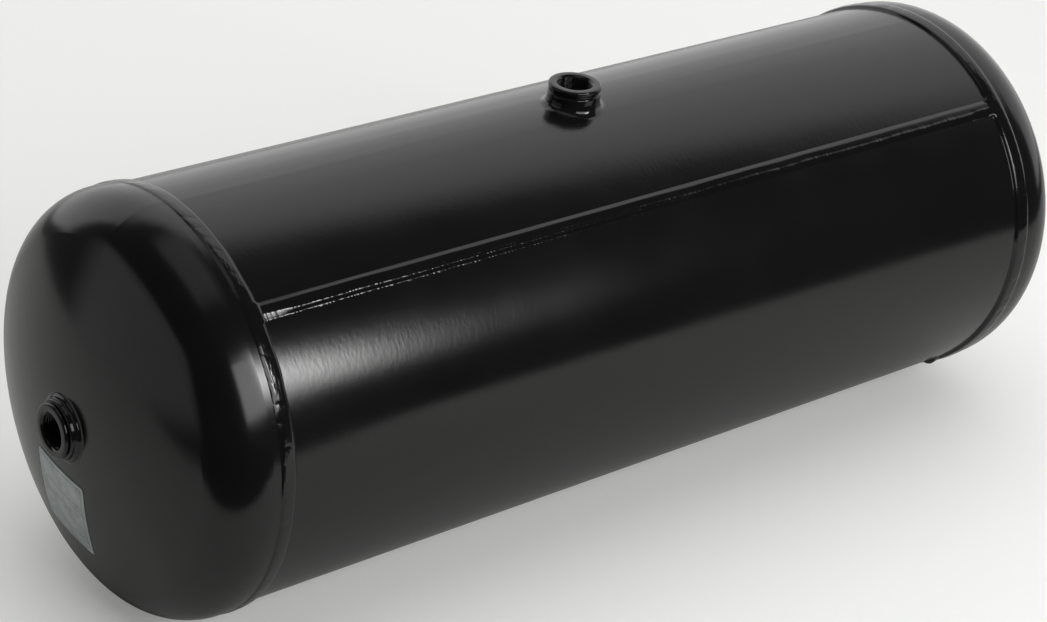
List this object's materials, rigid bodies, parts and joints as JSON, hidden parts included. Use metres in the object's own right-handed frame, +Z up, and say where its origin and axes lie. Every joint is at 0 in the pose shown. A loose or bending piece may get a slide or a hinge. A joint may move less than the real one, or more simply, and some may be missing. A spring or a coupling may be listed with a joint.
{
  "type": "horizontal compressed-air pressure tank",
  "caption": "Horizontal compressed-air tank of welded steel sheet: cylindrical shell, lapped domed heads, long seam, threaded ports at both ends and on top, blank data plate.",
  "frame": {"origin": "middle of the tank, on its axis, where the straps that hold it are centred", "axes": "+X along the tank from the data-plate end to the plain end, +Y away from the long seam's side, +Z up through the shell's port"},
  "size_m": [0.7222, 0.2512, 0.2623],
  "materials": {
    "tank_enamel": "gloss",
    "weld_enamel": "gloss",
    "boss_enamel": "gloss",
    "plate_foil": "satin"
  },
  "bodies": {
    "root": {"shell": "tank_enamel", "long_seam_weld": "weld_enamel", "plate_end_head": "tank_enamel", "plain_end_head": "tank_enamel", "plate_end_girth_weld": "weld_enamel", "plain_end_girth_weld": "weld_enamel", "plate_end_port_boss": "boss_enamel", "plate_end_port_weld": "weld_enamel", "plain_end_port_boss": "boss_enamel", "plain_end_port_weld": "weld_enamel", "top_port_boss": "boss_enamel", "top_port_weld": "weld_enamel", "data_plate": "plate_foil"}
  },
  "joints": []
}
